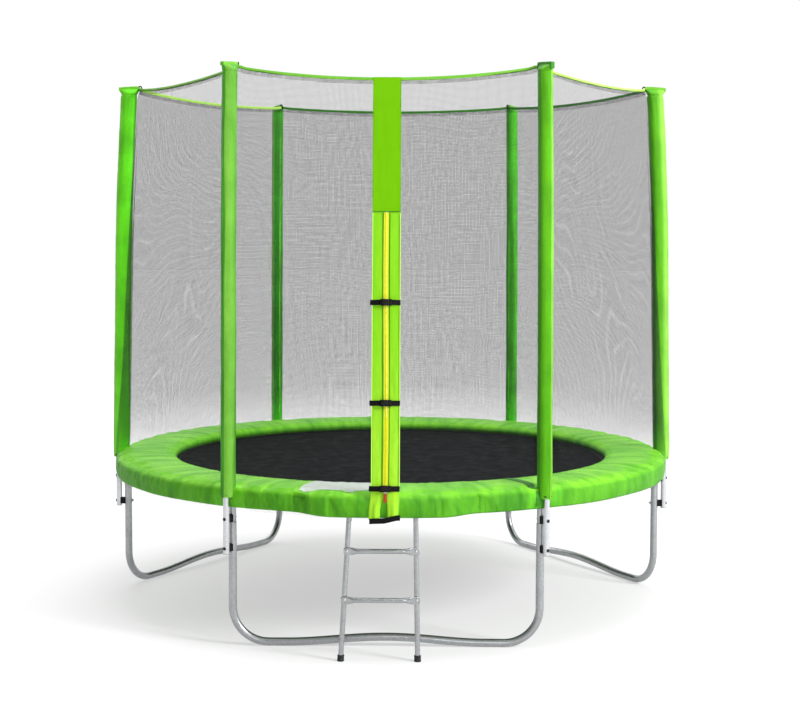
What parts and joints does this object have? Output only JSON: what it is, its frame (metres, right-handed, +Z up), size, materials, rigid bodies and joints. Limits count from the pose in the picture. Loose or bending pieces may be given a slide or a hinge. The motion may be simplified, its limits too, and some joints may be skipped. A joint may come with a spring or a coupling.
{
  "type": "backyard trampoline",
  "caption": "Round backyard trampoline: steel ring on bent-tube legs, sprung mat, padded edge, net enclosure on sleeved poles with a zipped entrance, hook-on ladder.",
  "frame": {"origin": "on the ground under the centre of the frame ring", "axes": "+Z up, -Y towards the zipped entrance and the ladder, +X to the right seen from the entrance"},
  "size_m": [2.546, 2.5237, 2.287],
  "materials": {
    "galvanised_frame": "dull galvanised tube, slightly mottled",
    "pole_steel": "thin galvanised tube, satin",
    "ladder_steel": "galvanised tube and strip",
    "spring_steel": "zinc-plated coil springs and V-rings, with the mat's black edge band",
    "jump_mat_weave": "tight black woven polypropylene",
    "pad_cover": "green coated cloth over foam, soft sheen",
    "sleeve_cover": "green coated cloth over foam tube, soft sheen",
    "door_cloth": "lime green coated cloth strip",
    "net_mesh": "fine open black polyester mesh",
    "zip_metal": "orange painted zip slider and pull",
    "black_plastic": "moulded black plastic",
    "foot_rubber": "moulded black rubber"
  },
  "bodies": {
    "frame": {"top_rail_front_left": "galvanised_frame", "top_rail_front_right": "galvanised_frame", "top_rail_right": "galvanised_frame", "top_rail_back_right": "galvanised_frame", "top_rail_back_left": "galvanised_frame", "top_rail_left": "galvanised_frame", "leg_front": "galvanised_frame", "leg_back_right": "galvanised_frame", "leg_back_left": "galvanised_frame", "pole_lower_front_left": "pole_steel", "pole_lower_front_right": "pole_steel", "pole_lower_right": "pole_steel", "pole_lower_back_right": "pole_steel", "pole_lower_back_left": "pole_steel", "pole_lower_left": "pole_steel", "pole_upper_front_left": "pole_steel", "pole_upper_front_right": "pole_steel", "pole_upper_right": "pole_steel", "pole_upper_back_right": "pole_steel", "pole_upper_back_left": "pole_steel", "pole_upper_left": "pole_steel", "pole_sleeve_front_left": "sleeve_cover", "pole_sleeve_front_right": "sleeve_cover", "pole_sleeve_right": "sleeve_cover", "pole_sleeve_back_right": "sleeve_cover", "pole_sleeve_back_left": "sleeve_cover", "pole_sleeve_left": "sleeve_cover", "pole_spacer_upper_front_left": "black_plastic", "pole_spacer_lower_front_left": "black_plastic", "pole_spacer_upper_front_right": "black_plastic", "pole_spacer_lower_front_right": "black_plastic", "pole_spacer_upper_right": "black_plastic", "pole_spacer_lower_right": "black_plastic", "pole_spacer_upper_back_right": "black_plastic", "pole_spacer_lower_back_right": "black_plastic", "pole_spacer_upper_back_left": "black_plastic", "pole_spacer_lower_back_left": "black_plastic", "pole_spacer_upper_left": "black_plastic", "pole_spacer_lower_left": "black_plastic", "spring_row_front": "spring_steel", "spring_row_back_right": "spring_steel", "spring_row_back_left": "spring_steel", "safety_pad": "pad_cover", "enclosure_net": "net_mesh", "entrance_flap_left": "door_cloth", "entrance_flap_right": "door_cloth", "buckle_socket_top": "black_plastic", "buckle_socket_middle": "black_plastic", "buckle_socket_bottom": "black_plastic"},
    "mat": {"jump_mat": "jump_mat_weave"},
    "ladder": {"ladder_rail_left": "ladder_steel", "ladder_rail_right": "ladder_steel", "ladder_rung_upper": "ladder_steel", "ladder_rung_lower": "ladder_steel", "ladder_foot_left": "foot_rubber", "ladder_foot_right": "foot_rubber"},
    "slider": {"zip_slider": "zip_metal"},
    "plug_top": {"buckle_plug_top": "black_plastic"},
    "plug_middle": {"buckle_plug_middle": "black_plastic"},
    "plug_bottom": {"buckle_plug_bottom": "black_plastic"}
  },
  "joints": [
    {"name": "mat_bounce", "type": "slide", "parent": "frame", "child": "mat", "axis": [0, 0, 1], "range_m": [-0.28, 0], "stiffness_N_per_m": 3300, "deforming": ["spring_row_front", "spring_row_back_right", "spring_row_back_left"]},
    {"name": "ladder_tip", "type": "hinge", "parent": "frame", "child": "ladder", "pos_m": [-0.0111, -1.2008, 0.591], "axis": [-1, 0, 0], "range_deg": [0, 6]},
    {"name": "zip_slide", "type": "slide", "parent": "frame", "child": "slider", "axis": [0, 0.1433, 0.9897], "range_m": [0, 1.03]},
    {"name": "buckle_release_top", "type": "slide", "parent": "frame", "child": "plug_top", "axis": [1, 0, 0], "range_m": [0, 0.028]},
    {"name": "buckle_release_middle", "type": "slide", "parent": "frame", "child": "plug_middle", "axis": [1, 0, 0], "range_m": [0, 0.028]},
    {"name": "buckle_release_bottom", "type": "slide", "parent": "frame", "child": "plug_bottom", "axis": [1, 0, 0], "range_m": [0, 0.028]}
  ]
}
